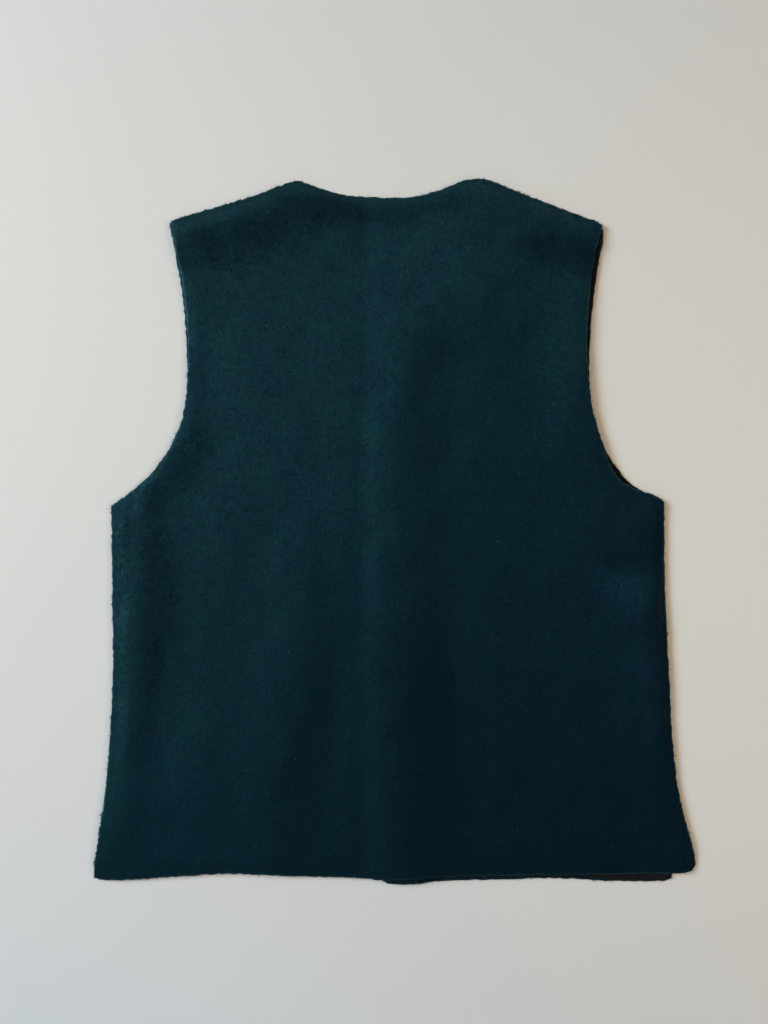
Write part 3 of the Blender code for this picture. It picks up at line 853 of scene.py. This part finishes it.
def felt_nap():
    """Felted nap: grain, curly strokes along and across, drifting patches of hue, pits and bright specks.

    Strokes are where a stretched noise is near its middle: 1 minus the distance from it, cut off narrowly.
    Pits are where a finer one is low. The hue runs from green to blue with two patchy noises, the place on
    the vest and the painted light and shade. That painted light and shade also makes the cloth lighter or
    darker, and duller where dark.
    """
    tree = bpy.data.node_groups.new("felt_nap", "ShaderNodeTree")
    colour, number = "NodeSocketColor", "NodeSocketFloat"
    for name, kind in (("Vector", "NodeSocketVector"), ("Dark", colour), ("Light", colour),
                       ("Green patch", colour), ("Blue patch", colour), ("Painted rim sheen", colour),
                       ("Rim", number), ("Painted light", number)):
        tree.interface.new_socket(name, in_out="INPUT", socket_type=kind)
    for name, kind in (("Colour", colour), ("Roughness", number), ("Height", number)):
        tree.interface.new_socket(name, in_out="OUTPUT", socket_type=kind)
    given, end = node(tree, "NodeGroupInput").outputs, node(tree, "NodeGroupOutput")
    link = tree.links.new

    def noise(name, stretch=(1, 1, 1)):
        """One of the felt's noises, stretched along x and y."""
        turned = node(tree, "ShaderNodeMapping", Scale=stretch)
        link(given["Vector"], turned.inputs["Vector"])
        made = node(tree, "ShaderNodeTexNoise", **dict(zip(NOISE_INPUTS, FELT[name])))
        link(turned.outputs["Vector"], made.inputs["Vector"])
        return made.outputs["Fac"]

    def maths(operation, *values):
        """A sum, product or the like of numbers and sockets."""
        made = node(tree, "ShaderNodeMath", operation=operation)
        for socket, value in zip(made.inputs, values):
            if isinstance(value, (int, float)):
                socket.default_value = value
            else:
                link(value, socket)
        return made.outputs[0]

    def spread(value, between, to=(0, 1)):
        """A value stretched softly from one range to another."""
        made = map_range(tree, between, to, "SMOOTHSTEP")
        link(value, made.inputs[0])
        return made.outputs[0]

    def mark(name, to=(0, 1), stretch=(1, 1, 1)):
        """A noise stretched softly over the range in which its mark fades."""
        return spread(noise(name, stretch), FELT[name][4:], to)

    def stroke(stretch):
        """Thin curly lines along the middle level of a noise."""
        from_middle = maths("ABSOLUTE", maths("SUBTRACT", noise("strokes", stretch), 0.5))
        return spread(from_middle, FELT["strokes"][4:], (1, 0))

    def mixed(mode, share, a, b):
        """Two colours mixed, or multiplied, by a share."""
        made = node(tree, "ShaderNodeMix", data_type="RGBA", blend_type=mode)
        for socket, value in ((MIX_SHARE, share), (MIX_A, a), (MIX_B, b)):
            if isinstance(value, (int, float, tuple)):
                made.inputs[socket].default_value = value
            else:
                link(value, made.inputs[socket])
        return made.outputs[MIX_RESULT]

    times, plus = partial(maths, "MULTIPLY"), partial(maths, "ADD")
    grain = noise("grain")
    broken = mark("breaks")
    strokes = times(maths("MAXIMUM", stroke((0.55, 1.9, 1)), stroke((1.9, 0.55, 1))), broken)
    pits = maths("MAXIMUM", mark("pits", (1, 0), (0.6, 1.5, 1)), mark("pits", (1, 0), (1.5, 0.6, 1)))
    patch = mark("patches")
    slow_hue = mark("slow hue", (-HUE_SWING, HUE_SWING))
    drift = mark("drift", (1 - DRIFT_SWING, 1 + DRIFT_SWING))
    speck = mark("specks")

    place = node(tree, "ShaderNodeSeparateXYZ")
    link(given["Vector"], place.inputs[0])
    # By place: bluer and darker towards the lower right, as painted shade
    by_place = plus(times(place.outputs["Y"], HUE_BY_Y), HUE_AT_MIDDLE)
    by_place = plus(by_place, times(place.outputs["X"], HUE_BY_X))
    # The painted light and shade turns the hue bluer where it is dark
    by_painted_light = maths("SUBTRACT", by_place, times(given["Painted light"], HUE_BY_PAINTED_LIGHT))
    hue = plus(plus(patch, slow_hue), by_painted_light)
    hue.node.use_clamp = True
    tint = mixed("MIX", hue, given["Green patch"], given["Blue patch"])

    lit = plus(times(strokes, STROKE_LIGHT), times(spread(grain, FELT["grain"][4:]), GRAIN_LIGHT))
    cloth = mixed("MULTIPLY", 1.0, mixed("MIX", lit, given["Dark"], given["Light"]), tint)
    cloth = mixed("MIX", times(pits, PIT_SHARE), cloth, PIT_COLOUR)
    cloth = mixed("MIX", times(speck, SPECK_SHARE), cloth, SPECK_COLOUR)
    # A painted sheen on the rim, where the nap catches the light
    rim_sheen = times(given["Rim"], plus(times(broken, RIM_SHEEN_IN_STROKES), RIM_SHEEN_ALL_OVER))
    cloth = mixed("MIX", rim_sheen, cloth, given["Painted rim sheen"])
    # Lighter or darker by the painted light and shade, times a random drift
    scaled = node(tree, "ShaderNodeVectorMath", operation="SCALE")
    link(cloth, scaled.inputs[0])
    link(times(drift, plus(times(given["Painted light"], LIGHTNESS_BY_PAINTED_LIGHT), 1.0)), scaled.inputs["Scale"])
    link(scaled.outputs[0], end.inputs["Colour"])

    rough = plus(spread(lit, (0, 1), ROUGHNESS_BY_LIGHT), times(pits, PIT_ROUGHNESS))
    rough = plus(rough, spread(patch, (0, 1), ROUGHNESS_BY_PATCH))
    rough = plus(rough, spread(given["Painted light"], (-1, 0), ROUGHNESS_BY_PAINTED_LIGHT))
    link(rough, end.inputs["Roughness"])
    relief = plus(times(grain, GRAIN_RELIEF), times(strokes, STROKE_RELIEF))
    link(maths("SUBTRACT", relief, times(pits, PIT_RELIEF)), end.inputs["Height"])
    return tree


def principled(name, values):
    """A new material and its Principled shader, with the given numbers on the shader's own sockets."""
    material = bpy.data.materials.new(name)
    material.use_nodes = True
    tree = material.node_tree
    shader = tree.nodes["Principled BSDF"]
    for key, value in values.items():
        shader.inputs[key].default_value = value
    return material, tree, shader


def wool_material(name, nap, light, dark):
    """Felted wool: a dark saturated cloth with a broad cool gloss and a thin sheen on the nap."""
    material, tree, shader = principled(name, {
        "Specular IOR Level": 0.60, "Specular Tint": (0.31, 0.95, 1.0, 1.0),
        "Sheen Weight": 0.03, "Sheen Roughness": 0.45, "Sheen Tint": (0.15, 0.70, 0.90, 1.0),
    })
    place = node(tree, "ShaderNodeTexCoord")
    rim = node(tree, "ShaderNodeAttribute", attribute_name="rim")
    # The painted light and shade of the back, stored on its points
    painted_light = node(tree, "ShaderNodeAttribute", attribute_name="painted_light")
    group = node(tree, "ShaderNodeGroup", node_tree=nap, Dark=dark, Light=light, **FELT_TINTS)
    bump = node(tree, "ShaderNodeBump", Strength=0.40, Distance=0.0006)
    wire(tree, (place, "Object", group, "Vector"), (rim, "Fac", group, "Rim"), (painted_light, "Fac", group, "Painted light"),
         (group, "Colour", shader, "Base Color"), (group, "Roughness", shader, "Roughness"),
         (group, "Height", bump, "Height"), (bump, "Normal", shader, "Normal"))
    return material


def lining_material():
    """Plain twill lining: fine slanting ribs. Its tone has painted light at the hem and painted shade from
    there upwards.
    """
    material, tree, shader = principled("plum_lining", {
        "Specular IOR Level": 0.15,
        "Sheen Weight": 0.02, "Sheen Roughness": 0.3, "Sheen Tint": (0.6, 0.6, 0.8, 1.0),
    })
    place = node(tree, "ShaderNodeTexCoord")
    turned = node(tree, "ShaderNodeMapping", Rotation=(0, 0, 0.9))
    ribs = node(tree, "ShaderNodeTexWave", Scale=420.0, Distortion=1.5, Detail=2.0)
    slow = node(tree, "ShaderNodeTexNoise", Scale=60.0, Detail=3.0)
    tone = node(tree, "ShaderNodeMix", data_type="RGBA")
    tone.inputs[MIX_A].default_value = PLUM_DARK
    tone.inputs[MIX_B].default_value = PLUM_LIGHT
    apart = node(tree, "ShaderNodeSeparateXYZ")
    # Painted light at the hem and painted shade upwards from it
    painted_shade = map_range(tree, LINING_SHADE_BETWEEN, LINING_SHADE_BRIGHTNESS)
    shaded_tone = node(tree, "ShaderNodeVectorMath", operation="SCALE")
    shine = map_range(tree, (0.0, 1.0), LINING_ROUGHNESS)
    bump = node(tree, "ShaderNodeBump", Strength=0.4, Distance=0.0003)
    wire(tree, (place, "Object", turned, "Vector"), (turned, "Vector", ribs, "Vector"),
         (place, "Object", slow, "Vector"), (ribs, "Fac", tone, MIX_SHARE), (slow, "Fac", shine, 0),
         (place, "Object", apart, 0), (apart, "Y", painted_shade, 0), (tone, MIX_RESULT, shaded_tone, 0),
         (painted_shade, 0, shaded_tone, "Scale"), (shaded_tone, 0, shader, "Base Color"), (shine, 0, shader, "Roughness"),
         (ribs, "Fac", bump, "Height"), (bump, "Normal", shader, "Normal"))
    return material


def floor_material():
    """Plain pale surface, a little uneven."""
    material, tree, shader = principled("pale_floor", {
        "Base Color": (0.77, 0.77, 0.76, 1.0), "Specular IOR Level": 0.2, "Roughness": 0.8,
    })
    place = node(tree, "ShaderNodeTexCoord")
    slow = node(tree, "ShaderNodeTexNoise", Scale=14.0, Detail=5.0)
    bump = node(tree, "ShaderNodeBump", Strength=0.05, Distance=0.001)
    wire(tree, (place, "Object", slow, "Vector"), (slow, "Fac", bump, "Height"),
         (bump, "Normal", shader, "Normal"))
    return material


def area_light(name, place, aim, size, power, colour, lights_surfaces, shines):
    """A square soft light, turned to its aim. It can be left out of the matt or glossy light."""
    light = bpy.data.lights.new(name, "AREA")
    light.size = size
    light.energy = power
    light.color = colour
    lamp = bpy.data.objects.new(name, light)
    lamp.location = place
    lamp.rotation_euler = (Vector(aim) - Vector(place)).to_track_quat("-Z", "Y").to_euler()
    lamp.visible_diffuse = lights_surfaces
    lamp.visible_glossy = shines
    bpy.context.scene.collection.objects.link(lamp)


def surround():
    """A dim warm surround that lights the cloth, and the pale backdrop that the camera sees instead."""
    world = bpy.data.worlds.new("surround")
    bpy.context.scene.world = world
    world.use_nodes = True
    tree = world.node_tree
    lit_by = tree.nodes["Background"]
    lit_by.inputs["Color"].default_value = (1.0, 0.80, 0.60, 1)
    lit_by.inputs["Strength"].default_value = 0.12
    seen = node(tree, "ShaderNodeBackground", Color=(0.63, 0.61, 0.58, 1), Strength=1.0)
    rays = node(tree, "ShaderNodeLightPath")
    either = node(tree, "ShaderNodeMixShader")
    wire(tree, (rays, "Is Camera Ray", either, 0), (lit_by, 0, either, 1), (seen, 0, either, 2),
         (either, 0, tree.nodes["World Output"], "Surface"))
    world.cycles_visibility.glossy = False


def set_stage():
    """Floor, soft lights, a dim even surround, and the camera straight above."""
    half = 3.0
    corners = np.array([(-half, -half, 0), (half, -half, 0), (half, half, 0), (-half, half, 0)], float)
    floor = add_mesh("floor", corners, np.array([(0, 1, 2, 3)]), floor_material())
    for light in LIGHTS:
        area_light(*light)
    surround()
    scene = bpy.context.scene
    scene.view_settings.view_transform = "Standard"

    camera = bpy.data.cameras.new("camera")
    camera.lens = 27.0
    camera.sensor_width = 36.0
    camera.clip_start = 0.01
    eye = bpy.data.objects.new("camera", camera)
    eye.location = CAMERA_AT
    scene.collection.objects.link(eye)
    scene.camera = eye


def panels():
    """The four flat panels, with the hem corners of the right front and the lining rounded further."""
    shapes = {
        "back": panel(
            BACK_HEM, BACK_TOP, [BACK_LEFT_VENT, BACK_LEFT_SEAM, BACK_LEFT_ARMHOLE],
            [BACK_RIGHT_VENT, BACK_RIGHT_SEAM, BACK_RIGHT_ARMHOLE], BACK_SHARES, BACK_CELLS),
        "front_left": panel(
            LEFT_FRONT_HEM, LEFT_FRONT_SHOULDER, [LEFT_FRONT_SIDE, LEFT_FRONT_ARMHOLE],
            [LEFT_FRONT_CENTRE, LEFT_FRONT_NECK], FRONT_SHARES, FRONT_CELLS),
        "front_right": panel(
            RIGHT_FRONT_HEM, RIGHT_FRONT_SHOULDER, [RIGHT_FRONT_CENTRE, RIGHT_FRONT_NECK],
            [RIGHT_FRONT_SIDE, RIGHT_FRONT_ARMHOLE], FRONT_SHARES, FRONT_CELLS),
        "lining_right": panel(
            LINING_HEM, LINING_SHOULDER, [LINING_CENTRE, LINING_NECK], [LINING_SIDE, LINING_ARMHOLE],
            FRONT_SHARES, LINING_CELLS),
    }
    for name in ("front_right", "lining_right"):
        for i in (0, -1):
            shapes[name] = round_corner(shapes[name], i, 0, HEM_CORNER_CUT, HEM_CORNER_REACH)
    return shapes


def underside(name, points):
    """Height of a panel's underside at its points."""
    x, y = points[..., 0], points[..., 1]
    if name == "back":
        to_right_edge = np.hypot(*np.moveaxis(points - points[-1:], -1, 0))
        return back_height(x, y, to_right_edge)
    if name == "front_left":
        return crease_lift(x, y, FRONT_CREASES)
    if name == "front_right":
        return right_front_height(x, y) + crease_lift(x, y, FRONT_CREASES)
    return lining_height(x, y)


def dress():
    shapes = panels()
    outline = np.vstack([p.reshape(-1, 2) for p in shapes.values()])
    centre = (outline.min(axis=0) + outline.max(axis=0)) / 2
    under = {name: underside(name, points) for name, points in shapes.items()}
    shapes = {name: points - centre for name, points in shapes.items()}

    nap = felt_nap()
    wool = wool_material("teal_wool", nap, WOOL_LIGHT, WOOL_DARK)
    # Fibres in lighter colours, as a painted sheen
    fibre = wool_material("teal_fibres", nap, FIBRE_LIGHT, FIBRE_DARK)
    lining = lining_material()
    rng = np.random.default_rng(FIBRE_SEED)
    made = {}
    for name, points in shapes.items():
        cloth = (LINING, lining) if name == "lining_right" else (WOOL, wool)
        made[name] = cloth_wall("cloth_" + name, points, under[name], *cloth)
    # Painted light and shade onto the back's points
    paint_light_and_shade(made["back"][0], centre)
    for name, (piece, rim) in made.items():
        points = shapes[name]
        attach(piece, "root")
        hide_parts(name)
        loose = []
        if name != "lining_right":
            spacing = BACK_FIBRE_SPACING if name == "back" else FRONT_FIBRE_SPACING
            loose.append(edge_fibres("edge_fibres_" + name, rim, spacing, fibre, rng))
        if name == "back":
            loose.append(lying_fibres("nap_fibres_back", points, under[name] + WOOL, NAP_FIBRES, fibre, rng))
        for fibres in loose:
            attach(fibres, "root")


dress()
set_stage()
